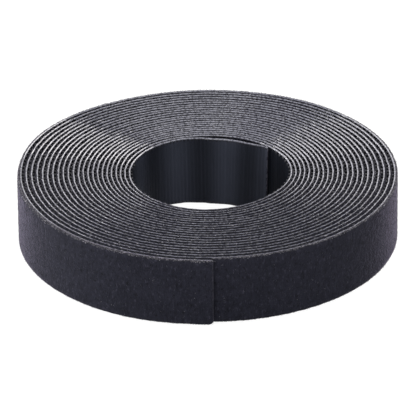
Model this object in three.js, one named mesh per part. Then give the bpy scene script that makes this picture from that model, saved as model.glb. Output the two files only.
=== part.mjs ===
// A roll of back-to-back hook and loop tape, wound flat on itself with no core and lying on its side.
// Lengths are in millimetres and angles in degrees. +Z is the axis of the winding, and the roll rests on
// z = 0. Seen from above, the tape winds outwards anticlockwise, hook side in and loop side out.

import * as THREE from 'three';

// The tape
const TAPE_WIDTH = 20;
const HOOK_THICKNESS = 0.4; // base film and hooks
const LOOP_THICKNESS = 0.36; // backing and pressed pile

// The winding: the outer turns lie looser than the inner ones
const HOLE_RADIUS = 21.9; // from the axis to the hook tips where the spiral starts
const INNER_TURN_GAP = 0.44;
const OUTER_TURN_GAP = 0.8;
const TURNS = 22.625;
const STEPS_PER_TURN = 24;
const INNER_END_ANGLE = 45;
const INNER_END_LIFT = 0.5; // how far the cut inner end stands off its turn, into the hole

// The two ends that come free. The tape bends anywhere along them, here at the joins between short links.
const TAIL_LINKS = 6;
const TAIL_LINK_STEPS = 1;
const INNER_END_LINKS = 3;
const INNER_END_LINK_STEPS = 2;
const LINK_GAP = 0.3;

const LOOP_COLOUR = 0x29282f;
const LOOP_ROUGHNESS = 0.95;
const HOOK_COLOUR = 0x1d1f26;
const HOOK_ROUGHNESS = 0.5;

// What follows from them
const TAPE_THICKNESS = HOOK_THICKNESS + LOOP_THICKNESS;
const INNER_PITCH = TAPE_THICKNESS + INNER_TURN_GAP;
const OUTER_PITCH = TAPE_THICKNESS + OUTER_TURN_GAP;
const WOUND_STEPS = Math.round(TURNS * STEPS_PER_TURN);
const INNER_END_STEPS = INNER_END_LINKS * INNER_END_LINK_STEPS;
const TAIL_STEPS = TAIL_LINKS * TAIL_LINK_STEPS;

// Radius of the hook tips: a spiral whose pitch grows steadily from the inner to the outer turns.
function spiralRadius(step) {
  const turn = step / STEPS_PER_TURN;
  const growth = (OUTER_PITCH - INNER_PITCH) / (2 * TURNS);
  return HOLE_RADIUS + INNER_PITCH * turn + growth * turn * turn;
}

// How far the tape stands inwards of its spiral: all of the lift at the cut end, none past the last link.
function innerEndLift(step) {
  return INNER_END_LIFT * (1 - THREE.MathUtils.smoothstep(step, 0, INNER_END_STEPS));
}

// A corner of the wound tape at a whole step. Depth runs outwards from the hook tips.
function tapeCorner(step, depth) {
  const angle = THREE.MathUtils.degToRad(INNER_END_ANGLE + (360 * step) / STEPS_PER_TURN);
  const radius = spiralRadius(step) - innerEndLift(step) + depth;
  return new THREE.Vector2(radius * Math.cos(angle), radius * Math.sin(angle));
}

// A point on the straight facet between two corners.
function tapePoint(step, depth) {
  const corner = Math.floor(step);
  return tapeCorner(corner, depth).lerp(tapeCorner(corner + 1, depth), step - corner);
}

// Half of the gap between links, as a share of the facet at this step.
function halfGapInSteps(corner) {
  const facet = tapeCorner(corner, 0).distanceTo(tapeCorner(corner + 1, 0));
  return LINK_GAP / 2 / facet;
}

// A stretch of one layer between two steps, drawn in plan and raised to the width of the tape.
function layerGeometry(firstStep, lastStep, innerDepth, outerDepth) {
  const steps = [firstStep];
  for (let corner = Math.floor(firstStep) + 1; corner < lastStep; corner += 1) {
    steps.push(corner);
  }
  steps.push(lastStep);
  const outside = steps.map((step) => tapePoint(step, outerDepth));
  const inside = steps.map((step) => tapePoint(step, innerDepth));
  const plan = new THREE.Shape([...outside, ...inside.reverse()]);
  return new THREE.ExtrudeGeometry(plan, { depth: TAPE_WIDTH, bevelEnabled: false });
}

function layerMesh(name, geometry, color, roughness) {
  const mesh = new THREE.Mesh(geometry, new THREE.MeshStandardMaterial({ color, roughness, metalness: 0 }));
  mesh.name = name;
  return mesh;
}

// Both layers of the tape from one step to another. A cut end of the tape keeps its step, and an end that
// meets the next stretch stays half a gap short of it.
function tapeStretch(stretch, number, firstStep, lastStep) {
  const first = firstStep === 0 ? 0 : firstStep + halfGapInSteps(firstStep);
  const last = lastStep === WOUND_STEPS ? lastStep : lastStep - halfGapInSteps(lastStep - 1);
  const loop = layerGeometry(first, last, HOOK_THICKNESS, TAPE_THICKNESS);
  const hook = layerGeometry(first, last, 0, HOOK_THICKNESS);
  const group = new THREE.Group();
  group.add(layerMesh(`${stretch}_loop_fabric${number}`, loop, LOOP_COLOUR, LOOP_ROUGHNESS));
  group.add(layerMesh(`${stretch}_hook_strip${number}`, hook, HOOK_COLOUR, HOOK_ROUGHNESS));
  return group;
}

// The least gap between one turn's loop side and the next turn's hook side, measured from the corners of
// each to the facets of the other.
function leastTurnGap() {
  const nearest = new THREE.Vector3();
  const facet = new THREE.Line3();
  const gapToFacets = (step, depth, otherStep, otherDepth) => {
    const corner = tapeCorner(step, depth);
    const point = new THREE.Vector3(corner.x, corner.y, 0);
    let least = Infinity;
    for (let start = otherStep - 2; start < otherStep + 2; start += 1) {
      if (start >= 0 && start < WOUND_STEPS) {
        const [from, to] = [tapeCorner(start, otherDepth), tapeCorner(start + 1, otherDepth)];
        facet.set(new THREE.Vector3(from.x, from.y, 0), new THREE.Vector3(to.x, to.y, 0));
        facet.closestPointToPoint(point, true, nearest);
        least = Math.min(least, nearest.distanceTo(point));
      }
    }
    return least;
  };
  let least = Infinity;
  for (let step = 0; step + STEPS_PER_TURN <= WOUND_STEPS; step += 1) {
    const nextTurn = step + STEPS_PER_TURN;
    least = Math.min(least, gapToFacets(step, TAPE_THICKNESS, nextTurn, 0));
    least = Math.min(least, gapToFacets(nextTurn, 0, step, TAPE_THICKNESS));
  }
  return least;
}

console.log(`least gap between turns: ${leastTurnGap().toFixed(3)} mm`);

const tapeRoll = new THREE.Group();
tapeRoll.add(tapeStretch('winding', '', INNER_END_STEPS, WOUND_STEPS - TAIL_STEPS));

for (let link = 1; link <= TAIL_LINKS; link += 1) {
  const firstStep = WOUND_STEPS - TAIL_STEPS + (link - 1) * TAIL_LINK_STEPS;
  tapeRoll.add(tapeStretch('tail', `_${link}`, firstStep, firstStep + TAIL_LINK_STEPS));
}

for (let link = 1; link <= INNER_END_LINKS; link += 1) {
  const lastStep = INNER_END_STEPS - (link - 1) * INNER_END_LINK_STEPS;
  tapeRoll.add(tapeStretch('inner_end', `_${link}`, lastStep - INNER_END_LINK_STEPS, lastStep));
}

export default tapeRoll;
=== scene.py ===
"""A flat roll of black back-to-back hook and loop tape, lying on its side with no core.

The tape is a spiral ribbon of two layers. The inner one is a moulded film with rows of small palm-shaped
hooks, and its cut edge is the pale line of every turn. The outer one is a brushed loop fabric, pressed thin
between the turns and full on the outside of the roll. Places on the tape are given by turn (turns wound since
the inner end), depth (outwards from the hook tips) and height (above the table). Lengths are in metres.
"""

import math

import bpy
import numpy as np
from mathutils import Matrix, Vector


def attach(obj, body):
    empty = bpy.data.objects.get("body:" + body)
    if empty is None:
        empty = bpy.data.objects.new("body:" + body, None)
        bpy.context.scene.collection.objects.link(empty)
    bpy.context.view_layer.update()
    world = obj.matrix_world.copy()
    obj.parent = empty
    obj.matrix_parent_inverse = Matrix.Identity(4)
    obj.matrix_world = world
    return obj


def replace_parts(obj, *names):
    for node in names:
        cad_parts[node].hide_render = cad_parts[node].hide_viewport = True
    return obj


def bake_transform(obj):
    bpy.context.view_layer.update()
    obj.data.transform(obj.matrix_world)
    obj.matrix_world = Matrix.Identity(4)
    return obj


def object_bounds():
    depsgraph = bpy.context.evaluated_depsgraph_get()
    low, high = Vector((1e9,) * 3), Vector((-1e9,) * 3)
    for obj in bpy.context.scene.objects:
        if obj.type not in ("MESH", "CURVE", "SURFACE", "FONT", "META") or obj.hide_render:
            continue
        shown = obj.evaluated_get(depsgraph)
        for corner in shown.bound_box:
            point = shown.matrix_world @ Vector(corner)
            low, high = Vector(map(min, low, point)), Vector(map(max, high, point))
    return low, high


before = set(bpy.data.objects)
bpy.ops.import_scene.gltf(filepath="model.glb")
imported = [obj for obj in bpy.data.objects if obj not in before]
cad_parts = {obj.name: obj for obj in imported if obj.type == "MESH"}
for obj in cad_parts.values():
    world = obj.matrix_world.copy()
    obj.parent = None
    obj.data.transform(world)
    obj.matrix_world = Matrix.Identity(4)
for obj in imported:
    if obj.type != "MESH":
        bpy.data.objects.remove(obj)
CAD_LOW, CAD_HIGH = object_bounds()

MM = 0.001
UPRIGHT = np.array([0.0, 0.0, 1.0])

# The tape and its winding, as the CAD model has them
TAPE_WIDTH = CAD_HIGH.z - CAD_LOW.z
HOOK_THICKNESS = 0.40 * MM
TAPE_THICKNESS = HOOK_THICKNESS + 0.36 * MM
HOLE_RADIUS = 21.9 * MM
INNER_PITCH = TAPE_THICKNESS + 0.44 * MM
OUTER_PITCH = TAPE_THICKNESS + 0.80 * MM
TURNS = 22.625
PITCH_GROWTH = (OUTER_PITCH - INNER_PITCH) / (2 * TURNS)
INNER_END_ANGLE = math.radians(45)
TAIL_LINKS = 6
TAIL_LINK_TURNS = 1 / 24
INNER_END_LINKS = 3
INNER_END_LINK_TURNS = 2 / 24
TAIL_START = TURNS - TAIL_LINKS * TAIL_LINK_TURNS
INNER_END_STOP = INNER_END_LINKS * INNER_END_LINK_TURNS
BEHIND_INNER_END = 1 + INNER_END_STOP + INNER_END_LINK_TURNS
OUTSIDE_START = TURNS - 1

# The film: its bevelled cut edge, from the loop side to the hook side
FILM_BEVEL_DEPTHS = np.array([1.0, 0.8625, 0.70, 0.425, 0.175, 0.0]) * HOOK_THICKNESS
FILM_BEVEL_DROPS = np.array([0.07, 0.0, 0.026, 0.074, 0.118, 0.175]) * MM
LOWER_BEVEL_SHARE = 0.5
# Over this shoulder the pale edge fades into the film's faces, a band of painted light below the edge
FILM_EDGE_SHOULDER = 0.25 * MM

# The hooks: single rows at the edges, and low rows over the field between them
HOOK_ROOM = 0.52 * MM
EDGE_HOOK_PITCH = 2.1 * MM
EDGE_HOOK_HALF_STEM = 0.24 * MM
EDGE_HOOK_HALF_HEAD = 0.44 * MM
EDGE_HOOK_HEIGHT = 0.58 * MM
EDGE_HOOK_WIDTH = 0.45 * MM
EDGE_HOOK_MARGIN = 0.16 * MM
EDGE_HOOK_UNEVENNESS = 1
EDGE_ROW = EDGE_HOOK_MARGIN + EDGE_HOOK_WIDTH / 2
FIELD_HOOK_PITCH = 1.05 * MM
FIELD_HOOK_HALF_STEM = 0.16 * MM
FIELD_HOOK_HALF_HEAD = 0.30 * MM
FIELD_HOOK_HEIGHT = 0.09 * MM
FIELD_HOOK_WIDTH = 0.26 * MM
FIELD_HOOK_UNEVENNESS = 0.15
FIELD_MARGIN = 0.40 * MM
FIELD_ROW_PITCH = 0.36 * MM
FIELD_ROWS = np.arange(FIELD_MARGIN, TAPE_WIDTH - FIELD_MARGIN, FIELD_ROW_PITCH)
FIRST_HOOK_NUMBER = -4
HOOK_SEED = 31
HOOK_FLAT_ANGLE = math.radians(40)
# Painted light on the hooks near the tape's edges, where they show between the turns: where it starts and
# ends fading
HOOK_PAINTED_LIGHT_FADE = (0.6 * MM, 1.1 * MM)

# How much the hooks differ: in place as a share of their pitch, in size, in lean and in height
HOOK_PLACE_SPREAD = (-0.1, 0.1)
HOOK_SIZE_SPREAD = (-0.2, 0.12)
HOOK_LEAN_SPREAD = (-0.2, 0.2)
HOOK_SINK = 0.3 * MM

# Stretches of the hole's rim, in turns, that have hooks at their upper edge
LEFT_RIM_TURNS = (0.33, 0.53)
RIGHT_RIM_TURNS = (0.72, 0.97)

# The pile
FULL_PILE = 0.60 * MM
PILE_SWELL = 0.45 * MM
PRESSED_PILE_ROUND = 0.25 * MM
FULL_PILE_ROUND = 0.40 * MM
PILE_EDGE_DROP = 0.20 * MM
OPEN_PILE_EDGE_DROP = 0.08 * MM
PILE_FILL_DROPS = (1.4 * MM, 2.2 * MM)
LAYER_OVERLAP = 0.01 * MM
TAIL_FRAY_LENGTH = 0.6 * MM
TAIL_FRAY_THINNING = 0.35
# Painted light on the pile's rim, palest at the top of its rounding, and how much less of it the open turn
# has
PILE_RIM_PAINTED_LIGHT = np.array([1.0, 0.9, 0.5, 0.1, 0.0, 0.0])
OPEN_RIM_LESS_PAINTED_LIGHT = 0.5
TAIL_CUT_FADE = (0.1 * MM, 0.5 * MM)
TAIL_CUT_PALENESS = 0.3

# The cut ends of the tape
UPPER_TAIL_CORNER = 0.7 * MM
LOWER_TAIL_CORNER = 1.4 * MM
INNER_CORNER = 0.12 * MM
TAIL_TIP_LENGTH = 7 * MM
TAIL_TIP_LIFT = 0.15 * MM
INNER_END_BOW = 1.1 * MM
INNER_END_REST = 0.25 * MM
INNER_END_LEAN = 1.8 * MM
INNER_END_OVERHANG = 1.3 * MM
INNER_START = -INNER_END_OVERHANG / (2 * math.pi * HOLE_RADIUS)

# Painted reflection bands of the wall: the length of a light and a dark one, where the first one starts, and
# their tone
WALL_BAND_LENGTH = 14.9 * MM
WALL_BAND_SHIFT = 8.2 * MM
WALL_BAND_LEVEL = 0.56
WALL_BAND_SWING = 0.36

# Dents of the innermost turns, as in any roll wound by hand: angle and spread in degrees, and size
INNER_DENTS = ((125, 24, 0.4 * MM), (262, 24, 0.4 * MM), (312, 34, -0.75 * MM))
DENT_TURNS = 9

# The whole roll bulges a little to one side, most of all in its outer turns: angles in degrees
BULGE_ANGLE = 148
BULGE_SPREAD = 25
BULGE_SIZE = 1.2 * MM
BULGE_INNER_SHARE = 0.4

# The turns between which a form comes or goes
INNER_BOW_RISE = (-0.01, 0.045)
INNER_BOW_FALL = (0.10, 0.19)
INNER_REST_FALL = (-0.01, 0.02)
INNER_LEAN_RISE = (-0.06, 0.06)
INNER_LEAN_FALL = (0.12, 0.28)
BULGE_RISE = (0.5, 3)
# Where the wall's painted reflection bands fade out, leaving the rest of the wall in painted shade
WALL_BAND_FALL = (0.27, 0.38)
PILE_FILL_RISE = (INNER_END_STOP + 0.02, INNER_END_STOP + 0.06)
PILE_FILL_FALL = (TAIL_START - 1.06, TAIL_START - 1.02)
CALM_RISE = (TURNS - 1.1, TURNS - 0.9)
OPEN_PILE_RISE = (OUTSIDE_START, TURNS - 0.98)
PILE_SWELL_RISE = (TURNS - 0.30, TURNS - 0.20)
PILE_SWELL_FALL = (TURNS - 0.06, TURNS - 0.01)

# Ripples along the tape: amplitude, longest wave, shortest wave and seed
SLOW_WANDER = (0.045 * MM, 60 * MM, 12 * MM, 11)
SHORT_WANDER = (0.035 * MM, 9 * MM, 4 * MM, 12)
SLOW_UPPER_DIP = (0.04 * MM, 150 * MM, 30 * MM, 21)
SHORT_UPPER_DIP = (0.02 * MM, 8 * MM, 3 * MM, 22)
SLOW_LOWER_DIP = (0.03 * MM, 150 * MM, 30 * MM, 23)
SHORT_LOWER_DIP = (0.02 * MM, 8 * MM, 3 * MM, 24)

# Nicks of the film's edge, given in the same way, with the seed of the bevel's first line
FILM_NICKS = (0.009 * MM, 5 * MM, 1.4 * MM)
FIRST_NICK_SEED = 100
NICK_RISE_LIMIT = 0.02 * MM

# The waves of a ripple, the mean dips of the cut edges, and how much calmer the last turn is
RIPPLE_WAVES = 9
RIPPLE_WAVE_SPREAD = (0.85, 1.15)
RIPPLE_STRENGTHS = (0.5, 1.0)
UPPER_DIP = 0.03 * MM
LOWER_DIP = 0.02 * MM
CALM_SHARE = 0.7

# How far a bend spreads along the tape on either side of its hinge
BEND_BEFORE = 2 * MM
BEND_AFTER = 6.8 * MM

# Loose fibres to the square metre of pile, or to the metre of edge
OPEN_PILE_DENSITY = 1.6e6
COVERED_PILE_DENSITY = 0.5e6
UPPER_RIM_DENSITY = 16e3
LOWER_RIM_DENSITY = 8e3
UPPER_EDGE_DENSITY = 2.4e3
LOWER_EDGE_DENSITY = 0.8e3

# Loose fibres of the pile's face, lengths in millimetres: a tone is a random share to the power of a rarity
# A pale tone is a painted glint on a fibre that catches the light
PILE_FIBRE_MARGIN = 1.1
PILE_FIBRE_ROOT = 0.03
PILE_FIBRE_TILT = 0.8
PILE_FIBRE_REACH = (0.2, 0.6)
PILE_FIBRE_SWELL = (0.05, 0.15)
PILE_FIBRE_RADIUS = (0.016, 0.030)
PILE_FIBRE_RARITY = 40
PILE_FIBRE_PALENESS = 0.7

# Frayed fibres of the outermost turn's edges, lengths in millimetres
RIM_FIBRE_ROUND_SHARE = 0.95
RIM_FIBRE_DEPTH_SHARE = 0.97
RIM_FIBRE_RUN = 0.35
RIM_FIBRE_RISE = (-0.35, 0.10)
RIM_FIBRE_STAND = (-0.15, 0.20)
RIM_FIBRE_SWELL = (0.04, 0.16)
RIM_FIBRE_RARITY = 1.5
RIM_FIBRE_PALE_GAIN = 0.030

# Cut fibres over the edges of all turns, lengths in millimetres
EDGE_FIBRE_DROP = (0.06, 0.25)
EDGE_FIBRE_DEPTH = (0.35, 0.75)
EDGE_FIBRE_STRAY = 0.5
EDGE_FIBRE_REACH = (0.2, 0.5)
EDGE_FIBRE_SWELL = (0.02, 0.12)
EDGE_FIBRE_RARITY = 3
EDGE_FIBRE_PALE_GAIN = 0.042
THIN_FIBRE_RADIUS = 0.014

# How fine the meshes are
STEP_TURNS = 1.8 / 360
FILM_STEP_TURNS = 1.0 / 360
FINE_STEP_TURNS = 0.6 / 360
TAIL_TIP_STEPS = 14
FIBRE_STEPS = 4
FIBRE_SIDES = 3
LENGTH_TABLE_SIZE = 4000


# The spiral

def spiral_radius(turn):
    """Radius of the hook tips: the hole's radius plus a pitch that grows steadily from turn to turn."""
    return HOLE_RADIUS + INNER_PITCH * turn + PITCH_GROWTH * turn**2


def tape_length(turn):
    """Length of tape from the inner end to a turn: two pi times the integral of the spiral's radius."""
    return 2 * math.pi * (HOLE_RADIUS * turn + INNER_PITCH * turn**2 / 2 + PITCH_GROWTH * turn**3 / 3)


FULL_LENGTH = tape_length(TURNS)
LENGTH_TABLE_TURNS = np.linspace(INNER_START, TURNS, LENGTH_TABLE_SIZE)
LENGTH_TABLE = tape_length(LENGTH_TABLE_TURNS)


def turn_at_length(length):
    """The turn that lies a length of tape from the inner end, the inverse of tape_length."""
    return np.interp(length, LENGTH_TABLE, LENGTH_TABLE_TURNS)


def smooth(value, start, end):
    """0 before start and 1 after end, with a cubic ease between them."""
    t = np.clip((value - start) / (end - start), 0, 1)
    return t * t * (3 - 2 * t)


def ripple(length, amplitude, longest, shortest, seed):
    """Uneven handling of the tape: a sum of sines of random wavelength and phase along its length."""
    draw = np.random.default_rng(seed)
    wavelengths = np.geomspace(longest, shortest, RIPPLE_WAVES)
    wavelengths = wavelengths * draw.uniform(*RIPPLE_WAVE_SPREAD, RIPPLE_WAVES)
    phases = draw.uniform(0, 2 * math.pi, RIPPLE_WAVES)
    strengths = draw.uniform(*RIPPLE_STRENGTHS, RIPPLE_WAVES)
    angles = 2 * math.pi * np.asarray(length)[..., None] / wavelengths + phases
    return amplitude * (np.sin(angles) * strengths).sum(-1) / math.sqrt((strengths**2).sum())


def wander(turn):
    """How far a turn strays from the even spiral: a slow ripple and a short one, less on the last turn."""
    length = tape_length(turn)
    calm = 1 - CALM_SHARE * smooth(turn, *CALM_RISE)
    return calm * (ripple(length, *SLOW_WANDER) + ripple(length, *SHORT_WANDER))


def inner_end_bow(turn):
    """How far the inner end stands off its turn: it bows into the hole, and its cut rests near the wall."""
    bow = smooth(turn, *INNER_BOW_RISE) * (1 - smooth(turn, *INNER_BOW_FALL))
    return INNER_END_BOW * bow - INNER_END_REST * (1 - smooth(turn, *INNER_REST_FALL))


def inner_end_lean(turn):
    """How far the inner end's lower edge leans further into the hole than its upper edge."""
    return INNER_END_LEAN * smooth(turn, *INNER_LEAN_RISE) * (1 - smooth(turn, *INNER_LEAN_FALL))


def tail_tip_lift(turn):
    """The cut end of the tail springs a little off the roll over its last few millimetres."""
    return TAIL_TIP_LIFT * smooth(tape_length(turn), FULL_LENGTH - TAIL_TIP_LENGTH, FULL_LENGTH)


def degrees_from(turn, centre):
    """Degrees round the axis from a centre angle to a turn, between -180 and 180."""
    angle = np.degrees(INNER_END_ANGLE) + 360 * np.asarray(turn)
    return (angle - centre + 180) % 360 - 180


def inner_dents(turn):
    """Dents and bulges of the inner turns: a bell curve round each one's angle, fading from turn to turn."""
    bells = [size * np.exp(-(degrees_from(turn, centre) / spread) ** 2)
             for centre, spread, size in INNER_DENTS]
    return sum(bells) * (1 - smooth(turn, 0, DENT_TURNS))


def roll_bulge(turn):
    """The roll is a little out of round: a bell curve round one angle, larger on the outer turns."""
    share = smooth(turn, *BULGE_RISE) * (BULGE_INNER_SHARE + (1 - BULGE_INNER_SHARE) * turn / TURNS)
    return BULGE_SIZE * share * np.exp(-((degrees_from(turn, BULGE_ANGLE) / BULGE_SPREAD) ** 2))


def on_tape(turn, depth, height):
    """Points at turns, depths and heights, in polar coordinates: the spiral's radius with all its strays."""
    angle = INNER_END_ANGLE + 2 * math.pi * turn
    radius = spiral_radius(turn) + wander(turn) + inner_dents(turn) + roll_bulge(turn) + tail_tip_lift(turn)
    radius = radius + depth - inner_end_bow(turn) - inner_end_lean(turn) * (1 - height / TAPE_WIDTH)
    return np.stack(np.broadcast_arrays(radius * np.cos(angle), radius * np.sin(angle), height), -1)


def outwards(turn):
    """Unit vectors away from the axis."""
    angle = INNER_END_ANGLE + 2 * math.pi * np.asarray(turn)
    return np.stack([np.cos(angle), np.sin(angle), np.zeros_like(angle)], -1)


def along(turn):
    """Unit vectors along the tape, towards the tail."""
    angle = INNER_END_ANGLE + 2 * math.pi * np.asarray(turn)
    return np.stack([-np.sin(angle), np.cos(angle), np.zeros_like(angle)], -1)


def corner_inset(turn, tail_corner):
    """How far an edge of the tape draws in near its cut ends, where a quarter circle rounds each corner."""
    def quarter(distance, rounding):
        """How far a quarter circle draws in at a distance from the cut; rounding is its radius."""
        into = np.clip(rounding - distance, 0, rounding)
        return rounding - np.sqrt(rounding**2 - into**2)
    length = tape_length(turn)
    from_inner_end = length - tape_length(INNER_START)
    return quarter(FULL_LENGTH - length, tail_corner) + quarter(from_inner_end, INNER_CORNER)


def upper_edge(turn):
    """Height of the film's upper cut edge: the tape's width less an uneven dip and the corner rounding."""
    length = tape_length(turn)
    dip = UPPER_DIP + ripple(length, *SLOW_UPPER_DIP) + ripple(length, *SHORT_UPPER_DIP)
    return TAPE_WIDTH - np.clip(dip, 0, None) - corner_inset(turn, UPPER_TAIL_CORNER)


def lower_edge(turn):
    """Height of the film's lower cut edge, uneven in the same way, with no point below the table."""
    length = tape_length(turn)
    dip = LOWER_DIP + ripple(length, *SLOW_LOWER_DIP) + ripple(length, *SHORT_LOWER_DIP)
    return np.clip(dip, 0, None) + corner_inset(turn, LOWER_TAIL_CORNER)


# Each side of the roll: the height of the tape's cut edge there, and 1 if it faces up or -1 if down
UPPER_SIDE = (upper_edge, 1)
LOWER_SIDE = (lower_edge, -1)


# Where this is 1 the film's faces are painted in shade, for the dark cells between the turns
def between_turns(turn):
    """1 where the tape's hook side lies on an inner turn, and 0 on the wall of the hole and on the tail."""
    past_wall = smooth(turn, BEHIND_INNER_END - INNER_END_LINK_TURNS, BEHIND_INNER_END)
    return past_wall * (1 - smooth(turn, TAIL_START - TAIL_LINK_TURNS, TAIL_START))


def painted_wall_reflections(turn):
    """Painted reflection bands on the hole's wall: a sine along the tape, fading out on the left into painted
    shade.
    """
    wave = np.sin(2 * math.pi * (tape_length(turn) - WALL_BAND_SHIFT) / WALL_BAND_LENGTH)
    return (WALL_BAND_LEVEL + WALL_BAND_SWING * wave) * (1 - smooth(turn, *WALL_BAND_FALL))


def turn_pitch(turn):
    """Distance from a turn to the next one, which grows steadily from the inner to the outer turns."""
    return INNER_PITCH + (OUTER_PITCH - INNER_PITCH) * turn / TURNS


def openness(turn):
    """1 where the pile is on the outside of the roll, and 0 where the next turn presses it."""
    return smooth(turn, *OPEN_PILE_RISE)


def pile_thickness(turn):
    """Thickness of the pile: pressed between turns, so that the hooks keep their room, and full outside.

    It swells a little on the tail and is frayed thin at the tail's cut."""
    pressed = turn_pitch(turn) - HOOK_THICKNESS - HOOK_ROOM
    swell = smooth(turn, *PILE_SWELL_RISE) * (1 - smooth(turn, *PILE_SWELL_FALL))
    full = FULL_PILE + PILE_SWELL * swell
    fray = 1 - smooth(FULL_LENGTH - tape_length(turn), 0, TAIL_FRAY_LENGTH)
    return (pressed + (full - pressed) * openness(turn)) * (1 - TAIL_FRAY_THINNING * fray)


# Meshes

def mesh_piece(name, points, corners, sizes, material, flat_angle=None, **values):
    """A mesh object from points, the flat list of every face's corners and each face's corner count."""
    mesh = bpy.data.meshes.new(name)
    mesh.vertices.add(len(points))
    mesh.vertices.foreach_set("co", np.ascontiguousarray(points, np.float32).ravel())
    mesh.loops.add(len(corners))
    mesh.loops.foreach_set("vertex_index", np.ascontiguousarray(corners, np.int32))
    mesh.polygons.add(len(sizes))
    starts = np.concatenate([[0], np.cumsum(sizes)[:-1]])
    mesh.polygons.foreach_set("loop_start", starts.astype(np.int32))
    mesh.update(calc_edges=True)
    for value_name, value in values.items():
        value = np.ascontiguousarray(value, np.float32)
        kind, field = ("FLOAT_VECTOR", "vector") if value.ndim == 2 else ("FLOAT", "value")
        mesh.attributes.new(value_name, kind, "POINT").data.foreach_set(field, value.ravel())
    mesh.shade_smooth()
    if flat_angle is not None:
        mesh.set_sharp_from_angle(angle=flat_angle)
    mesh.materials.append(material)
    piece = bpy.data.objects.new(name, mesh)
    bpy.context.scene.collection.objects.link(piece)
    return piece


def ribbon_faces(stations, around):
    """Faces of a closed tube: a quad between neighbouring stations and corners, and a cap at each end."""
    i, j = np.meshgrid(np.arange(stations - 1), np.arange(around), indexing="ij")
    k = (j + 1) % around
    quads = np.stack([i * around + j, (i + 1) * around + j, (i + 1) * around + k, i * around + k], -1)
    last = (stations - 1) * around
    caps = np.concatenate([np.arange(around), last + np.arange(around)[::-1]])
    sizes = np.concatenate([np.full(quads.shape[0] * quads.shape[1], 4), [around, around]])
    return np.concatenate([quads.ravel(), caps]), sizes


def sharpen_cut_ends(mesh, around):
    """Marks the rims of both end caps sharp, so that a cap doesn't shade the faces beside it."""
    ends = np.empty(len(mesh.edges) * 2, np.int32)
    mesh.edges.foreach_get("vertices", ends)
    ends = ends.reshape(-1, 2)
    at_start = (ends < around).all(1)
    at_end = (ends >= len(mesh.vertices) - around).all(1)
    mesh.edges.foreach_set("use_edge_sharp", at_start | at_end)


def ribbon(name, turn, depth, height, material, cut_edge, **along_tape):
    """A ribbon wound along the spiral: a section of depths and heights, one row of it for each turn given.

    Values along the tape are given for each turn, and the mesh carries them under their names."""
    points = on_tape(turn[:, None], depth, height).reshape(-1, 3)
    corners, sizes = ribbon_faces(*depth.shape)
    length = np.broadcast_to(tape_length(turn)[:, None], depth.shape)
    place = np.stack([length, height, depth], -1).reshape(-1, 3)
    cut_edge = np.broadcast_to(cut_edge, depth.shape).ravel()
    values = {key: np.repeat(value, depth.shape[1]) for key, value in along_tape.items()}
    values.update(tape_place=place, cut_edge=cut_edge)
    piece = mesh_piece(name, points, corners, sizes, material, **values)
    sharpen_cut_ends(piece.data, depth.shape[1])
    return piece


def repeated_faces(corners, sizes, count, points_each):
    """Faces of so many equal shapes, one after the other: those of the first one, moved on by its points."""
    offsets = np.arange(count)[:, None] * points_each
    return (offsets + corners).ravel(), np.tile(sizes, count)


def film_section(turn):
    """The film across its width: flat faces, and cut edges that fall away to the hook side in a soft bevel.

    A ripple of its own lowers or raises each line of the bevel, as the knife left it."""
    outer, inner = FILM_BEVEL_DEPTHS[:1], FILM_BEVEL_DEPTHS[-1:]
    outer_drop = FILM_BEVEL_DROPS[:1] + 2 * FILM_EDGE_SHOULDER
    inner_drop = FILM_BEVEL_DROPS[-1:] + FILM_EDGE_SHOULDER
    depth = np.concatenate([outer, FILM_BEVEL_DEPTHS, inner, inner, FILM_BEVEL_DEPTHS[::-1], outer])
    drop = np.concatenate([outer_drop, FILM_BEVEL_DROPS, inner_drop])
    lower_drop = np.concatenate([outer_drop, LOWER_BEVEL_SHARE * FILM_BEVEL_DROPS, inner_drop])[::-1]
    length = tape_length(turn)
    seeds = range(FIRST_NICK_SEED, FIRST_NICK_SEED + len(FILM_BEVEL_DROPS))
    nicks = np.stack([ripple(length, *FILM_NICKS, seed) for seed in seeds], 1)
    nicks = np.pad(np.clip(nicks, -NICK_RISE_LIMIT, None), ((0, 0), (1, 1)))
    top = upper_edge(turn)[:, None] - drop - nicks
    bottom = np.maximum(lower_edge(turn)[:, None] + lower_drop + nicks[:, ::-1], 0)
    height = np.concatenate([top, bottom], 1)
    # The bevel is pale, partly the cut's own paleness and partly painted light; the paleness fades over each
    # shoulder
    pale = np.concatenate([[0], np.ones(len(FILM_BEVEL_DROPS)), [0]])
    return np.broadcast_to(depth, height.shape), height, np.concatenate([pale, pale])


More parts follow.
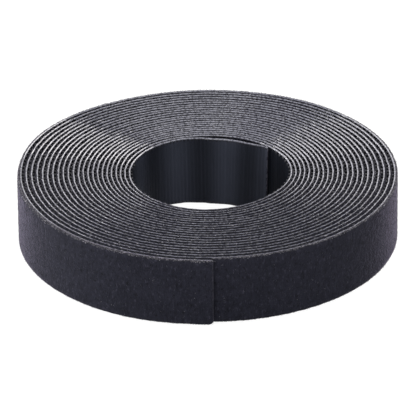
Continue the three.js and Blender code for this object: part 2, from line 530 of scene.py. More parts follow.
def loop_section(turn):
    """The loop fabric across its width: a flat back on the film and a pile with quarter-ellipse edges.

    Between turns the pile is pressed thin near the edges and fills the room up to the next turn further in.
    On the outside of the roll, under the tail and behind the inner end it keeps an open face."""
    covered = smooth(turn, *PILE_FILL_RISE) * (1 - smooth(turn, *PILE_FILL_FALL))
    thick = pile_thickness(turn)
    rounding = PRESSED_PILE_ROUND + (FULL_PILE_ROUND - PRESSED_PILE_ROUND) * openness(turn)
    filled = turn_pitch(turn) - HOOK_THICKNESS
    deep = thick + (filled - thick) * covered
    quarter = np.radians([0, 30, 60, 90])
    pile = np.concatenate([thick[:, None] * np.sin(quarter), thick[:, None], deep[:, None]], 1)
    fill_drops = np.broadcast_to(PILE_FILL_DROPS, (len(turn), 2))
    drops = np.concatenate([rounding[:, None] * (1 - np.cos(quarter)), fill_drops], 1)
    edge_drop = PILE_EDGE_DROP + (OPEN_PILE_EDGE_DROP - PILE_EDGE_DROP) * openness(turn)
    top = (upper_edge(turn) - edge_drop)[:, None] - drops
    bottom = (lower_edge(turn) + edge_drop / 2)[:, None] + drops
    depth = HOOK_THICKNESS - LAYER_OVERLAP + np.concatenate([pile, pile[:, ::-1]], 1)
    at_end = 1 - smooth(FULL_LENGTH - tape_length(turn), *TAIL_CUT_FADE)
    # Painted light on the pile's rim, less on the open turn
    at_rim = np.concatenate([PILE_RIM_PAINTED_LIGHT, PILE_RIM_PAINTED_LIGHT[::-1]])
    at_rim = at_rim * (1 - OPEN_RIM_LESS_PAINTED_LIGHT * openness(turn)[:, None])
    cut = np.maximum(at_rim, TAIL_CUT_PALENESS * at_end[:, None])
    return depth, np.concatenate([bottom, top[:, ::-1]], 1), cut


def hook_outline(half_stem, half_head, height):
    """Outline of a hook along the tape: a stem that flares at its foot and a wide head with a round crown.

    One half is given by its distances from the middle and its shares of the height, and then mirrored."""
    half = np.array([(half_stem * 1.2, -0.05), (half_stem, 0.2), (half_stem, 0.5), (half_head * 0.85, 0.48),
                     (half_head, 0.66), (half_head * 0.8, 0.92)])
    half[:, 1] *= height
    return np.concatenate([half, [[0.0, height]], half[::-1] * [-1, 1]])


def hook_shape(outline, width):
    """One hook as points, corners and face sizes: its outline drawn out to a width, from cap to cap."""
    count = len(outline)
    this, following = np.arange(count), np.roll(np.arange(count), -1)
    sides = np.stack([this, following, following + count, this + count], -1)
    corners = np.concatenate([this[::-1], this + count, sides.ravel()])
    sizes = np.concatenate([[count, count], np.full(count, 4)])
    ends = (-width / 2, width / 2)
    points = np.concatenate([np.column_stack([outline, np.full(count, end)]) for end in ends])
    return points, corners, sizes


def hook_rows(first_turn, last_turn, rows, pitch, outline, width, uneven):
    """Hooks on the film between two turns, in rows along the tape: one shape, set up on axes of its own.

    A row is given by its height, from the lower edge if positive and from the upper edge if negative. Uneven
    is how much the hooks differ in place, size, lean and height. The random draws are made for the whole tape
    each time, so that hooks on neighbouring stretches go on in step."""
    draw = np.random.default_rng(HOOK_SEED)
    numbers = np.arange(FIRST_HOOK_NUMBER, int(FULL_LENGTH / pitch) + 1)
    row, number = np.meshgrid(np.arange(len(rows)), numbers, indexing="ij")
    length = (number + uneven * draw.uniform(*HOOK_PLACE_SPREAD, row.shape)) * pitch
    size = 1 + uneven * draw.uniform(*HOOK_SIZE_SPREAD, row.shape)
    lean = uneven * draw.uniform(*HOOK_LEAN_SPREAD, row.shape)
    sunk = uneven * draw.uniform(0, 1, row.shape) * HOOK_SINK
    here = (length >= tape_length(first_turn)) & (length < tape_length(last_turn))
    turn = turn_at_length(length[here])
    offset = np.asarray(rows)[row[here]]
    upper = offset < 0
    level = np.where(upper, upper_edge(turn) - sunk[here], lower_edge(turn) + sunk[here]) + offset
    inside = (level > lower_edge(turn) + width / 2) & (level < upper_edge(turn) - width / 2)
    turn, level = turn[inside], level[inside]
    size, lean = size[here][inside][:, None], lean[here][inside][:, None]
    axes = np.stack([along(turn) * size, (lean * along(turn) - outwards(turn)) * size,
                     np.broadcast_to(UPRIGHT, (len(turn), 3))], 1)
    shape, corners, sizes = hook_shape(outline, width)
    points = on_tape(turn, 0, level)[:, None] + np.einsum("kc,ncd->nkd", shape, axes)
    faces = repeated_faces(corners, sizes, len(turn), len(shape))
    # The last value is the wall's painted reflection band at each point of the hooks
    return points.reshape(-1, 3), *faces, np.repeat(painted_wall_reflections(turn), len(shape))


def joined(first, second):
    """Two sets of hooks, each its points, corners, face sizes and painted reflection bands, as one."""
    shifted = second[0], second[1] + len(first[0]), second[2], second[3]
    return tuple(np.concatenate(pair) for pair in zip(first, shifted))


def fibre_tubes(roots, reach, swell, radius):
    """Loose fibres: three-sided tubes from each root along its reach, bowed by a half sine of its swell."""
    t = np.linspace(0, 1, FIBRE_STEPS + 1)[None, :, None]
    path = roots[:, None] + reach[:, None] * t + swell[:, None] * np.sin(math.pi * t)
    direction = reach / np.linalg.norm(reach, axis=1, keepdims=True)
    side = np.cross(direction, swell)
    side /= np.maximum(np.linalg.norm(side, axis=1, keepdims=True), 1e-12)
    rise = np.cross(side, direction)
    around = np.radians(np.arange(FIBRE_SIDES) * 360 / FIBRE_SIDES)
    ring = np.cos(around)[:, None] * side[:, None] + np.sin(around)[:, None] * rise[:, None]
    points = path[:, :, None] + radius[:, None, None, None] * ring[:, None]
    faces = ribbon_faces(FIBRE_STEPS + 1, FIBRE_SIDES)
    points_each = (FIBRE_STEPS + 1) * FIBRE_SIDES
    return points.reshape(-1, 3), *repeated_faces(*faces, len(roots), points_each)


# Colours, where a pair runs from its darker to its lighter end, and how strong the sheens are
PILE_FACE = ((0.0070, 0.0073, 0.0121), (0.0232, 0.0236, 0.0358))
PALE_FLECK = (0.0350, 0.0340, 0.0500)
DARK_FLECK = (0.0046, 0.0048, 0.0075)
VIOLET_SHEEN = (0.82, 0.73, 1.0, 1)
# The pile's edge colours are painted light on its rims; on the open turn it stands in for the sheen at the
# sides
OPEN_PILE_EDGE = ((0.020, 0.0190, 0.0250), (0.085, 0.081, 0.098))
PRESSED_PILE_EDGE = ((0.0028, 0.0028, 0.0045), (0.0165, 0.0165, 0.0255))
# The lighter end of FILM_FACE is painted reflection, which the wall's bands bring in
FILM_FACE = ((0.0056, 0.0066, 0.0098), (0.0540, 0.0590, 0.0810))
# Painted shade on the film's faces between the turns
FILM_IN_PAINTED_SHADE = (0.0045, 0.0048, 0.0065)
# The film's pale cut edges: partly the cut's own paleness, partly painted light
FILM_EDGE = ((0.046, 0.046, 0.065), (0.180, 0.180, 0.226))
# The lighter end of HOOK_FACE is painted reflection, as on the film
HOOK_FACE = ((0.0066, 0.0078, 0.0118), (0.0475, 0.0535, 0.0740))
# HOOK_EDGE is painted light on the hooks near the tape's edges
HOOK_EDGE = ((0.0085, 0.0087, 0.0114), (0.040, 0.0400, 0.0480))
# The pale end of FIBRE_TONES is a painted glint on fibres that catch the light
FIBRE_TONES = ((0.012, 0.0124, 0.0180), (0.560, 0.540, 0.590))
DULL_FIBRE = (0.010, 0.010, 0.014)
OPEN_PILE_SHEEN = 0.57
PRESSED_PILE_SHEEN = 0.0

# Finishes: what is the same all over a material
PILE_FINISH = {"Roughness": 0.9, "Specular IOR Level": 0.12, "Sheen Roughness": 0.21,
               "Sheen Tint": VIOLET_SHEEN}
FILM_FINISH = {"Specular IOR Level": 0.05, "Coat Roughness": 0.10, "Coat IOR": 1.6}
FILM_ROUGHNESS = 0.42
FILM_EDGE_SMOOTHNESS = 0.15
FILM_EDGE_GLOSS = 0.7
SPECK_GLOSS = 0.3
HOOK_FINISH = {"Roughness": FILM_ROUGHNESS, "Specular IOR Level": 0.06}
FIBRE_FINISH = {"Roughness": 0.6, "Specular IOR Level": 0.25}

# Grains: waves per metre along three axes, detail, and the levels of noise where a grain starts and is full
PILE_STREAKS = ((800, 300, 1), 4, 0.3, 0.7)
PILE_NAP = ((3000, 1800, 1), 2, 0.25, 0.75)
PILE_CLOUD = ((120, 90, 1), 2, 0.3, 0.7)
PALE_FLECKS = ((1500, 600, 1), 2, 0.56, 0.72)
DARK_FLECKS = ((1250, 700, 2), 2, 0.53, 0.76)
FILM_LINES = ((950, 6, 1), 2, 0.3, 0.7)
FILM_SPECKS = ((1300, 900, 900), 3, 0.38, 0.58)
HOOK_SPECKS = ((600, 600, 600), 2, 0.3, 0.7)
FIBRE_PATCHES = ((900, 900, 900), 1, 0.3, 0.7)
PATCH_DULLING = 0.5

# Reliefs: strength and distance
PILE_RELIEF = (0.48, 0.15 * MM)
FILM_RELIEF = (0.25, 0.05 * MM)


# Materials

def set_inputs(node, values):
    """Constant values on some of a node's own sockets."""
    for key, value in values.items():
        node.inputs[key].default_value = value


def new_material(name, finish):
    """A node material whose Principled shader has the constant values of a finish."""
    material = bpy.data.materials.new(name)
    material.use_nodes = True
    shader = material.node_tree.nodes["Principled BSDF"]
    set_inputs(shader, finish)
    return material, material.node_tree, shader


def add_node(tree, kind, inputs=None, **settings):
    """One shader node with its settings and constant inputs."""
    node = tree.nodes.new(kind)
    for key, value in settings.items():
        setattr(node, key, value)
    set_inputs(node, inputs or {})
    return node


def stretched_noise_group():
    """Shared grain: noise on a place stretched by three scales, pushed through a contrast, as a value."""
    group = bpy.data.node_groups.new("stretched_noise", "ShaderNodeTree")
    for name in ("Place", "Scales"):
        group.interface.new_socket(name, in_out="INPUT", socket_type="NodeSocketVector")
    for name in ("Detail", "Low", "High"):
        group.interface.new_socket(name, in_out="INPUT", socket_type="NodeSocketFloat")
    group.interface.new_socket("Value", in_out="OUTPUT", socket_type="NodeSocketFloat")
    into = group.nodes.new("NodeGroupInput")
    out = group.nodes.new("NodeGroupOutput")
    scaled = add_node(group, "ShaderNodeVectorMath", operation="MULTIPLY")
    noise = add_node(group, "ShaderNodeTexNoise", {"Scale": 1.0, "Roughness": 0.6})
    spread = add_node(group, "ShaderNodeMapRange", interpolation_type="SMOOTHSTEP")
    group.links.new(into.outputs["Place"], scaled.inputs[0])
    group.links.new(into.outputs["Scales"], scaled.inputs[1])
    group.links.new(scaled.outputs[0], noise.inputs["Vector"])
    group.links.new(into.outputs["Detail"], noise.inputs["Detail"])
    group.links.new(noise.outputs["Fac"], spread.inputs["Value"])
    group.links.new(into.outputs["Low"], spread.inputs["From Min"])
    group.links.new(into.outputs["High"], spread.inputs["From Max"])
    group.links.new(spread.outputs["Result"], out.inputs["Value"])
    return group


STRETCHED_NOISE = stretched_noise_group()


def grain(tree, place, scales, detail, low, high):
    """A use of the shared grain on a place."""
    values = {"Scales": scales, "Detail": detail, "Low": low, "High": high}
    node = add_node(tree, "ShaderNodeGroup", values, node_tree=STRETCHED_NOISE)
    tree.links.new(place, node.inputs["Place"])
    return node.outputs["Value"]


def blend_colours(tree, factor, first, second):
    """A colour between two, by a factor."""
    node = add_node(tree, "ShaderNodeMix", data_type="RGBA")
    tree.links.new(factor, node.inputs["Factor"])
    for socket, colour in (("A", first), ("B", second)):
        place = [s for s in node.inputs if s.name == socket and s.type == "RGBA"][0]
        if isinstance(colour, tuple):
            place.default_value = (*colour, 1)
        else:
            tree.links.new(colour, place)
    return [s for s in node.outputs if s.type == "RGBA"][0]


def combine(tree, operation, first, second):
    """Arithmetic on two values, each a socket or a number."""
    node = add_node(tree, "ShaderNodeMath", operation=operation)
    for index, value in enumerate((first, second)):
        if isinstance(value, (int, float)):
            node.inputs[index].default_value = value
        else:
            tree.links.new(value, node.inputs[index])
    return node.outputs[0]


def weighted_sum(tree, *parts):
    """The sum of some values, each times its weight."""
    total, *others = [combine(tree, "MULTIPLY", value, weight) for value, weight in parts]
    for other in others:
        total = combine(tree, "ADD", total, other)
    return total


def tape_attribute(tree, name, output):
    """A value that the piece's own mesh carries."""
    return add_node(tree, "ShaderNodeAttribute", attribute_name=name).outputs[output]


def add_bump(tree, shader, height, strength, distance):
    """Relief on a material from a height."""
    bump = add_node(tree, "ShaderNodeBump", {"Strength": strength, "Distance": distance})
    tree.links.new(height, bump.inputs["Height"])
    tree.links.new(bump.outputs["Normal"], shader.inputs["Normal"])


def loop_pile_material(name, edge_colours, sheen):
    """Brushed nylon loops: blue-black, upright streaks, flecks, a violet sheen, grey cut edges, painted light
    on rims.
    """
    material, tree, shader = new_material(name, {**PILE_FINISH, "Sheen Weight": sheen})
    place = tape_attribute(tree, "tape_place", "Vector")
    cut = tape_attribute(tree, "cut_edge", "Fac")
    streaks = grain(tree, place, *PILE_STREAKS)
    nap = grain(tree, place, *PILE_NAP)
    cloud = grain(tree, place, *PILE_CLOUD)
    face = blend_colours(tree, weighted_sum(tree, (streaks, 0.4), (nap, 0.4), (cloud, 0.2)), *PILE_FACE)
    face = blend_colours(tree, grain(tree, place, *PALE_FLECKS), face, PALE_FLECK)
    face = blend_colours(tree, grain(tree, place, *DARK_FLECKS), face, DARK_FLECK)
    # Painted light on the rims
    edge = blend_colours(tree, nap, *edge_colours)
    tree.links.new(blend_colours(tree, cut, face, edge), shader.inputs["Base Color"])
    add_bump(tree, shader, combine(tree, "ADD", nap, streaks), *PILE_RELIEF)
    return material


def film_material():
    """Moulded film: satin blue-black faces with faint upright lines, and pale, glossy cut edges."""
    material, tree, shader = new_material("hook_film", FILM_FINISH)
    place = tape_attribute(tree, "tape_place", "Vector")
    cut = tape_attribute(tree, "cut_edge", "Fac")
    lines = grain(tree, place, *FILM_LINES)
    # Tone of the faces: the wall's painted reflection bands, with faint lines
    tone = weighted_sum(tree, (tape_attribute(tree, "painted_reflection_band", "Fac"), 0.85), (lines, 0.15))
    face = blend_colours(tree, tone, *FILM_FACE)
    # Painted shade where the film lies between the turns
    face = blend_colours(tree, tape_attribute(tree, "wound", "Fac"), face, FILM_IN_PAINTED_SHADE)
    specks = grain(tree, place, *FILM_SPECKS)
    # Pale cut edges: partly the cut's own paleness, partly painted light
    edge = blend_colours(tree, specks, *FILM_EDGE)
    tree.links.new(blend_colours(tree, cut, face, edge), shader.inputs["Base Color"])
    smoother = combine(tree, "MULTIPLY", cut, FILM_EDGE_SMOOTHNESS)
    tree.links.new(combine(tree, "SUBTRACT", FILM_ROUGHNESS, smoother), shader.inputs["Roughness"])
    gloss = combine(tree, "ADD", FILM_EDGE_GLOSS, combine(tree, "MULTIPLY", specks, SPECK_GLOSS))
    tree.links.new(combine(tree, "MULTIPLY", cut, gloss), shader.inputs["Coat Weight"])
    add_bump(tree, shader, combine(tree, "ADD", lines, specks), *FILM_RELIEF)
    return material


def hook_material():
    """Moulded hooks: the film's plastic with painted reflection bands, and painted light towards the tape's
    cut edges.
    """
    material, tree, shader = new_material("moulded_hooks", HOOK_FINISH)
    place = add_node(tree, "ShaderNodeTexCoord").outputs["Object"]
    cut = tape_attribute(tree, "cut_edge", "Fac")
    # The wall's painted reflection bands, as on the film
    face = blend_colours(tree, tape_attribute(tree, "painted_reflection_band", "Fac"), *HOOK_FACE)
    # Painted light on the hooks towards the tape's edges
    edge = blend_colours(tree, grain(tree, place, *HOOK_SPECKS), *HOOK_EDGE)
    tree.links.new(blend_colours(tree, cut, face, edge), shader.inputs["Base Color"])
    return material


def fibre_material():
    """Loose nylon fibres: from the pile's own blue-black to a pale grey that paints a glint, duller in
    patches.
    """
    material, tree, shader = new_material("loose_fibres", FIBRE_FINISH)
    place = add_node(tree, "ShaderNodeTexCoord").outputs["Object"]
    dull = combine(tree, "MULTIPLY", grain(tree, place, *FIBRE_PATCHES), PATCH_DULLING)
    # Painted glint: the paler the fibre's tone, the more of it
    colour = blend_colours(tree, tape_attribute(tree, "fibre_tone", "Fac"), *FIBRE_TONES)
    tree.links.new(blend_colours(tree, dull, colour, DULL_FIBRE), shader.inputs["Base Color"])
    return material


LOOP_PILE = loop_pile_material("loop_pile", OPEN_PILE_EDGE, OPEN_PILE_SHEEN)
PRESSED_LOOPS = loop_pile_material("pressed_loops", PRESSED_PILE_EDGE, PRESSED_PILE_SHEEN)
HOOK_FILM = film_material()
MOULDED_HOOKS = hook_material()
LOOSE_FIBRES = fibre_material()


# Pieces

def film_piece(name, turn):
    """A stretch of the film, which carries where it is covered, for painted shade, and the wall's painted
    reflection bands.
    """
    depth, height, cut = film_section(turn)
    carried = {"wound": between_turns(turn), "painted_reflection_band": painted_wall_reflections(turn)}
    return ribbon(name, turn, depth, height, HOOK_FILM, cut, **carried)


def loop_piece(name, turn, material):
    """A stretch of the loop fabric."""
    depth, height, cut = loop_section(turn)
    piece = ribbon(name, turn, depth, height, material, cut)
    return piece


def hooks_piece(name, rows):
    """Rows of hooks as one piece, with painted light towards the cut edges of the tape."""
    points, corners, sizes, painted_reflection_band = rows
    from_edge = np.minimum(points[:, 2], TAPE_WIDTH - points[:, 2])
    # Painted light near the tape's edges, and the wall's painted reflection bands
    carried = {"cut_edge": 1 - smooth(from_edge, *HOOK_PAINTED_LIGHT_FADE), "painted_reflection_band": painted_reflection_band}
    piece = mesh_piece(name, points, corners, sizes, MOULDED_HOOKS, HOOK_FLAT_ANGLE, **carried)
    return piece


def edge_hooks(first_turn, last_turn, rows):
    """The outermost rows of hooks, which show between the turns."""
    outline = hook_outline(EDGE_HOOK_HALF_STEM, EDGE_HOOK_HALF_HEAD, EDGE_HOOK_HEIGHT)
    return hook_rows(first_turn, last_turn, rows, EDGE_HOOK_PITCH, outline, EDGE_HOOK_WIDTH,
                     EDGE_HOOK_UNEVENNESS)


def field_hooks(first_turn, last_turn):
    """The rows of hooks between the outermost ones, on a stretch whose hook side can be seen."""
    outline = hook_outline(FIELD_HOOK_HALF_STEM, FIELD_HOOK_HALF_HEAD, FIELD_HOOK_HEIGHT)[::2]
    return hook_rows(first_turn, last_turn, FIELD_ROWS, FIELD_HOOK_PITCH, outline, FIELD_HOOK_WIDTH,
                     FIELD_HOOK_UNEVENNESS)


def all_hooks(first_turn, last_turn):
    """Both kinds of hooks on one stretch."""
    edges = edge_hooks(first_turn, last_turn, [-EDGE_ROW, EDGE_ROW])
    return joined(field_hooks(first_turn, last_turn), edges)


def fibre_turns(draw, first_turn, last_turn, per_length):
    """Turns of loose fibres, drawn evenly along a stretch of tape, so many to its metre."""
    first, last = tape_length(first_turn), tape_length(last_turn)
    return turn_at_length(draw.uniform(first, last, int(per_length * (last - first))))


def fibre_piece(name, roots, reach, swell, radius, tone):
    """Loose fibres as one piece, each with its tone; one that would dip into the table is lifted onto it."""
    points, corners, sizes = fibre_tubes(roots, reach, swell, radius)
    points = points.reshape(len(roots), -1, 3)
    points[..., 2] -= np.minimum(points[..., 2].min(1, keepdims=True), 0)
    tone = np.repeat(tone, points.shape[1])
    points = points.reshape(-1, 3)
    return mesh_piece(name, points, corners, sizes, LOOSE_FIBRES, fibre_tone=tone)


def pile_fibres(name, first_turn, last_turn, density, seed):
    """Loops brushed up from the open face of the pile: low arches, most of them upright."""
    draw = np.random.default_rng(seed)
    turn = fibre_turns(draw, first_turn, last_turn, density * TAPE_WIDTH)
    count = len(turn)
    height = draw.uniform(PILE_FIBRE_MARGIN * MM, TAPE_WIDTH - PILE_FIBRE_MARGIN * MM, count)
    roots = on_tape(turn, HOOK_THICKNESS + pile_thickness(turn) - PILE_FIBRE_ROOT * MM, height)
    tilt = draw.normal(0, PILE_FIBRE_TILT, (count, 1)) + math.pi * draw.integers(0, 2, (count, 1))
    direction = np.cos(tilt) * UPRIGHT + np.sin(tilt) * along(turn)
    reach = draw.uniform(*PILE_FIBRE_REACH, (count, 1)) * MM * direction
    swell = draw.uniform(*PILE_FIBRE_SWELL, (count, 1)) * MM * outwards(turn)
    radius = draw.uniform(*PILE_FIBRE_RADIUS, count) * MM
    tone = PILE_FIBRE_PALENESS * draw.uniform(0, 1, count) ** PILE_FIBRE_RARITY
    return fibre_piece(name, roots, reach, swell, radius, tone)


def rim_fibres(name, first_turn, last_turn, side, per_length, seed):
    """Frayed fibres on an edge of the outermost turn, which stand up and out of the pile every way."""
    edge, upwards = side
    draw = np.random.default_rng(seed)
    turn = fibre_turns(draw, first_turn, last_turn, per_length)
    count = len(turn)
    share = draw.uniform(0, 1, count)
    rounding = FULL_PILE_ROUND * (1 - np.sqrt(1 - RIM_FIBRE_ROUND_SHARE * share**2))
    level = edge(turn) - upwards * (OPEN_PILE_EDGE_DROP + rounding)
    roots = on_tape(turn, HOOK_THICKNESS + RIM_FIBRE_DEPTH_SHARE * pile_thickness(turn) * share, level)
    reach = draw.normal(0, RIM_FIBRE_RUN, (count, 1)) * MM * along(turn)
    reach += draw.uniform(*RIM_FIBRE_RISE, (count, 1)) * MM * upwards * UPRIGHT
    reach += draw.uniform(*RIM_FIBRE_STAND, (count, 1)) * MM * outwards(turn)
    swell = draw.uniform(*RIM_FIBRE_SWELL, (count, 1)) * MM * (upwards * UPRIGHT + outwards(turn))
    tone = draw.uniform(0, 1, count) ** RIM_FIBRE_RARITY
    radius = (THIN_FIBRE_RADIUS + RIM_FIBRE_PALE_GAIN * tone) * MM
    return fibre_piece(name, roots, reach, swell, radius, tone)


def edge_fibres(name, first_turn, last_turn, side, per_length, seed):
    """Cut fibres that lie over the pile and the film on one side of the roll."""
    edge, upwards = side
    draw = np.random.default_rng(seed)
    turn = fibre_turns(draw, first_turn, last_turn, per_length)
    count = len(turn)
    level = edge(turn) - upwards * draw.uniform(*EDGE_FIBRE_DROP, count) * MM
    roots = on_tape(turn, draw.uniform(*EDGE_FIBRE_DEPTH, count) * MM, level)
    spread = draw.normal(0, 1, (count, 1)) * along(turn)
    spread = spread + draw.normal(0, EDGE_FIBRE_STRAY, (count, 1)) * outwards(turn)
    reach = spread * draw.uniform(*EDGE_FIBRE_REACH, (count, 1)) * MM
    swell = upwards * draw.uniform(*EDGE_FIBRE_SWELL, (count, 1)) * MM * UPRIGHT
    tone = draw.uniform(0, 1, count) ** EDGE_FIBRE_RARITY
    radius = (THIN_FIBRE_RADIUS + EDGE_FIBRE_PALE_GAIN * tone) * MM
    return fibre_piece(name, roots, reach, swell, radius, tone)


def turns_between(first, last, step):
    """Evenly spaced turns from first to last, about a step apart."""
    return np.linspace(first, last, max(2, round((last - first) / step) + 1))


def make_winding():
    """The turns that stay wound, from past the inner end to the root of the tail."""
    first = INNER_END_STOP + INNER_END_LINK_TURNS / 2
    last = TAIL_START - TAIL_LINK_TURNS / 2
    middle = turn_at_length(FULL_LENGTH / 2)
    inner_film = film_piece("winding_inner_film", turns_between(first, middle, FILM_STEP_TURNS))
    outer_film = film_piece("winding_outer_film", turns_between(middle, last, FILM_STEP_TURNS))
    pressed = turns_between(first, OUTSIDE_START, STEP_TURNS)
    inner_loop = loop_piece("winding_pressed_loop", pressed, PRESSED_LOOPS)
    open_turn = turns_between(OUTSIDE_START, last, STEP_TURNS)
    outer_loop = loop_piece("winding_outer_loop", open_turn, LOOP_PILE)
    for film in (inner_film, outer_film):
        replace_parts(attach(film, "winding"), "winding_hook_strip")
    for loop in (inner_loop, outer_loop):
        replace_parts(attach(loop, "winding"), "winding_loop_fabric")
    wall_middle = (first + BEHIND_INNER_END) / 2
    under_tail = TAIL_START - 1
    halfway = (OUTSIDE_START + last) / 2
    riders = [
        hooks_piece("winding_wall_hooks_1", field_hooks(first, wall_middle)),
        hooks_piece("winding_wall_hooks_2", field_hooks(wall_middle, BEHIND_INNER_END)),
        hooks_piece("winding_left_rim_hooks", edge_hooks(*LEFT_RIM_TURNS, [-EDGE_ROW])),
        hooks_piece("winding_right_rim_hooks", edge_hooks(*RIGHT_RIM_TURNS, [-EDGE_ROW])),
        hooks_piece("winding_upper_hooks", edge_hooks(BEHIND_INNER_END, last, [-EDGE_ROW])),
        hooks_piece("winding_lower_hooks", edge_hooks(BEHIND_INNER_END, last, [EDGE_ROW])),
        pile_fibres("winding_pile_fibres_1", OUTSIDE_START, halfway, OPEN_PILE_DENSITY, seed=41),
        pile_fibres("winding_pile_fibres_2", halfway, last, OPEN_PILE_DENSITY, seed=42),
        pile_fibres("under_tail_pile_fibres", under_tail, OUTSIDE_START, COVERED_PILE_DENSITY, seed=43),
        rim_fibres("winding_upper_rim_fibres", OUTSIDE_START, last, UPPER_SIDE, UPPER_RIM_DENSITY, seed=44),
        rim_fibres("winding_lower_rim_fibres", OUTSIDE_START, last, LOWER_SIDE, LOWER_RIM_DENSITY, seed=45),
        edge_fibres("winding_upper_fibres_1", first, middle, UPPER_SIDE, UPPER_EDGE_DENSITY, seed=46),
        edge_fibres("winding_upper_fibres_2", middle, OUTSIDE_START, UPPER_SIDE, UPPER_EDGE_DENSITY, seed=47),
        edge_fibres("winding_lower_fibres", first, OUTSIDE_START, LOWER_SIDE, LOWER_EDGE_DENSITY, seed=48),
    ]
    for piece in riders:
        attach(piece, "winding")


def link_layers(end, link, turn):
    """Film and loop fabric of one link of a free end."""
    film = film_piece(f"{end}_film_{link}", turn)
    return film, loop_piece(f"{end}_loop_{link}", turn, LOOP_PILE)


def bend_link(end, link, film, loop, others, hinge, depth, onwards):
    """Bakes a link's pieces where they lie, and has its layers replace those of the CAD model.

    Onwards is 1 if the link lies towards the tail from its hinge, and -1 if towards the inner end."""
    length = tape_length(hinge)
    before = on_tape(turn_at_length(length - onwards * BEND_BEFORE), depth, TAPE_WIDTH / 2)
    after = on_tape(turn_at_length(length + onwards * BEND_AFTER), depth, TAPE_WIDTH / 2)
    for piece in (film, loop, *others):
        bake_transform(piece)
    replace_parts(loop, f"{end}_loop_fabric_{link}")
    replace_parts(film, f"{end}_hook_strip_{link}")


def make_tail():
    """The free outer end: one stretch of tape for each hinge, from the middle of a link to the next one's."""
    for link in range(1, TAIL_LINKS + 1):
        hinge = TAIL_START + (link - 1) * TAIL_LINK_TURNS
        first = hinge - TAIL_LINK_TURNS / 2
        last = TURNS if link == TAIL_LINKS else hinge + TAIL_LINK_TURNS / 2
        turn = turns_between(first, last, FINE_STEP_TURNS)
        if link == TAIL_LINKS:
            tip = FULL_LENGTH - LOWER_TAIL_CORNER * np.linspace(1, 0, TAIL_TIP_STEPS) ** 2
            before_tip = turn[turn < turn_at_length(tip[0]) - FINE_STEP_TURNS / 4]
            turn = np.append(before_tip, turn_at_length(tip))
        film, loop = link_layers("tail", link, turn)
        upper_name, lower_name = f"tail_upper_rim_fibres_{link}", f"tail_lower_rim_fibres_{link}"
        others = [
            hooks_piece(f"tail_hooks_{link}", all_hooks(first, last)),
            pile_fibres(f"tail_pile_fibres_{link}", first, last, OPEN_PILE_DENSITY, seed=50 + link),
            rim_fibres(upper_name, first, last, UPPER_SIDE, UPPER_RIM_DENSITY, seed=60 + link),
            rim_fibres(lower_name, first, last, LOWER_SIDE, LOWER_RIM_DENSITY, seed=70 + link),
        ]
        bend_link("tail", link, film, loop, others, hinge, TAPE_THICKNESS, 1)


def make_inner_end():
    """The free inner end, in the same way, from the winding towards the cut."""
    for link in range(1, INNER_END_LINKS + 1):
        hinge = INNER_END_STOP - (link - 1) * INNER_END_LINK_TURNS
        last = hinge + INNER_END_LINK_TURNS / 2
        first = INNER_START if link == INNER_END_LINKS else hinge - INNER_END_LINK_TURNS / 2
        film, loop = link_layers("inner_end", link, turns_between(first, last, FINE_STEP_TURNS))
        fibres_name = f"inner_end_fibres_{link}"
        others = [
            hooks_piece(f"inner_end_hooks_{link}", field_hooks(first, last)),
            edge_fibres(fibres_name, first, last, UPPER_SIDE, UPPER_EDGE_DENSITY, seed=80 + link),
        ]
        bend_link("inner_end", link, film, loop, others, hinge, 0, -1)


# Stage, light and camera

CAMERA_AZIMUTH = math.radians(-0.8)
CAMERA_ELEVATION = math.radians(27.1)
CAMERA_ROLL = math.radians(-0.55)
CAMERA_DISTANCE = 1.5
CAMERA_REACH = 20
CAMERA_FOCAL_PIXELS = 5310
CAMERA_AIM = (-0.58 * MM, -0.6 * MM, 8.80 * MM)
PICTURE_PIXELS = 416
SENSOR_WIDTH = 36.0
ROOM_LIGHT = 0.35
TABLE_HALF_WIDTH = 1.5
TABLE_GAP = 0.05 * MM
TABLE_FINISH = {"Base Color": (0.8, 0.8, 0.8, 1), "Roughness": 0.9, "Specular IOR Level": 0.0}
TABLE_GLOW = 0.9
TABLE_SHADING = (0.2, 0.2, 0.2, 1)
PURE_WHITE = (1, 1, 1)
WARM_WHITE = (1.0, 0.965, 0.93)

# Lamps: place, width, height, watts and colour
SOFTBOXES = {
    "back_left_softbox": ((-0.52, 0.83, 0.80), 0.7, 0.52, 4.5, WARM_WHITE),
    "back_right_softbox": ((0.52, 0.83, 0.80), 0.7, 0.52, 8.1, WARM_WHITE),
    "low_back_left_softbox": ((-0.51, 1.10, 0.37), 0.8, 0.4, 1.2, WARM_WHITE),
    "low_back_right_softbox": ((0.51, 1.10, 0.37), 0.8, 0.4, 0.9, WARM_WHITE),
    "left_softbox": ((-1.05, 0.3, 0.18), 1.2, 0.34, 15, PURE_WHITE),
    "front_softbox": ((-0.4, -1.1, 0.5), 0.6, 0.5, 3.3, PURE_WHITE),
    "top_softbox": ((0.2, -0.25, 1.1), 1.4, 1.4, 7.5, PURE_WHITE),
}


def make_camera():
    """A long lens from the front, a little above, with the small roll of the photograph."""
    data = bpy.data.cameras.new("camera")
    data.sensor_width = SENSOR_WIDTH
    data.lens = CAMERA_FOCAL_PIXELS / PICTURE_PIXELS * SENSOR_WIDTH
    data.clip_end = CAMERA_REACH
    camera = bpy.data.objects.new("camera", data)
    bpy.context.scene.collection.objects.link(camera)
    back = Vector((math.sin(CAMERA_AZIMUTH) * math.cos(CAMERA_ELEVATION),
                   -math.cos(CAMERA_AZIMUTH) * math.cos(CAMERA_ELEVATION), math.sin(CAMERA_ELEVATION)))
    turned = back.to_track_quat("Z", "Y").to_matrix().to_4x4() @ Matrix.Rotation(CAMERA_ROLL, 4, "Z")
    camera.matrix_world = Matrix.Translation(Vector(CAMERA_AIM) + CAMERA_DISTANCE * back) @ turned
    bpy.context.scene.camera = camera


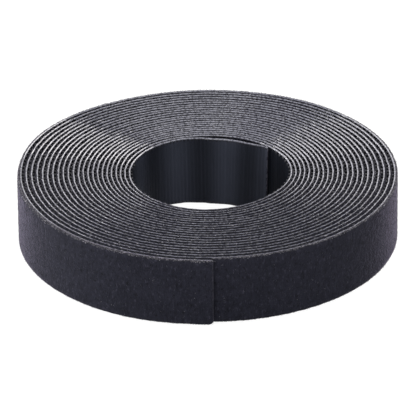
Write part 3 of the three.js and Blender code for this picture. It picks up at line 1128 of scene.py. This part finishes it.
def make_softbox(name, place, width, height, watts, colour):
    """A rectangular lamp that faces the roll."""
    data = bpy.data.lights.new(name, "AREA")
    data.shape = "RECTANGLE"
    data.size = width
    data.size_y = height
    data.energy = watts
    data.color = colour
    lamp = bpy.data.objects.new(name, data)
    bpy.context.scene.collection.objects.link(lamp)
    lamp.location = place
    lamp.visible_camera = False
    to_roll = Vector((0, 0, TAPE_WIDTH / 2)) - Vector(place)
    lamp.rotation_euler = to_roll.to_track_quat("-Z", "Y").to_euler()


def seen_directly(tree):
    """1 for rays from the camera, from a gloss or through glass, and 0 for the light on surfaces."""
    path = tree.nodes.new("ShaderNodeLightPath")
    seen = combine(tree, "MAXIMUM", path.outputs["Is Camera Ray"], path.outputs["Is Glossy Ray"])
    return combine(tree, "MAXIMUM", seen, path.outputs["Is Transmission Ray"])


def make_world():
    """A white studio: plain soft light on the roll, and plain white where it is seen directly."""
    world = bpy.data.worlds.new("studio")
    bpy.context.scene.world = world
    world.use_nodes = True
    tree = world.node_tree
    background = tree.nodes["Background"]
    background.inputs["Color"].default_value = (*PURE_WHITE, 1)
    strength = add_node(tree, "ShaderNodeMapRange", {"To Min": ROOM_LIGHT, "To Max": 1.0})
    tree.links.new(seen_directly(tree), strength.inputs["Value"])
    tree.links.new(strength.outputs["Result"], background.inputs["Strength"])


def make_floor():
    """A white table top: seen directly it is white, and keeps a faint shadow under the roll."""
    corners = np.array([(-1, -1, 0), (1, -1, 0), (1, 1, 0), (-1, 1, 0)]) * TABLE_HALF_WIDTH
    corners[:, 2] = CAD_LOW.z - TABLE_GAP
    material, tree, shader = new_material("table_top", TABLE_FINISH)
    glow = add_node(tree, "ShaderNodeEmission", {"Color": (*PURE_WHITE, 1), "Strength": TABLE_GLOW})
    faint = add_node(tree, "ShaderNodeBsdfDiffuse", {"Color": TABLE_SHADING})
    white = tree.nodes.new("ShaderNodeAddShader")
    tree.links.new(glow.outputs[0], white.inputs[0])
    tree.links.new(faint.outputs[0], white.inputs[1])
    choose = tree.nodes.new("ShaderNodeMixShader")
    tree.links.new(seen_directly(tree), choose.inputs[0])
    tree.links.new(shader.outputs[0], choose.inputs[1])
    tree.links.new(white.outputs[0], choose.inputs[2])
    tree.links.new(choose.outputs[0], tree.nodes["Material Output"].inputs["Surface"])
    mesh_piece("table_top", corners, np.arange(4), np.array([4]), material)


make_camera()
make_world()
make_floor()
for softbox, settings in SOFTBOXES.items():
    make_softbox(softbox, *settings)
bpy.context.scene.view_settings.view_transform = "Standard"

make_winding()
make_tail()
make_inner_end()
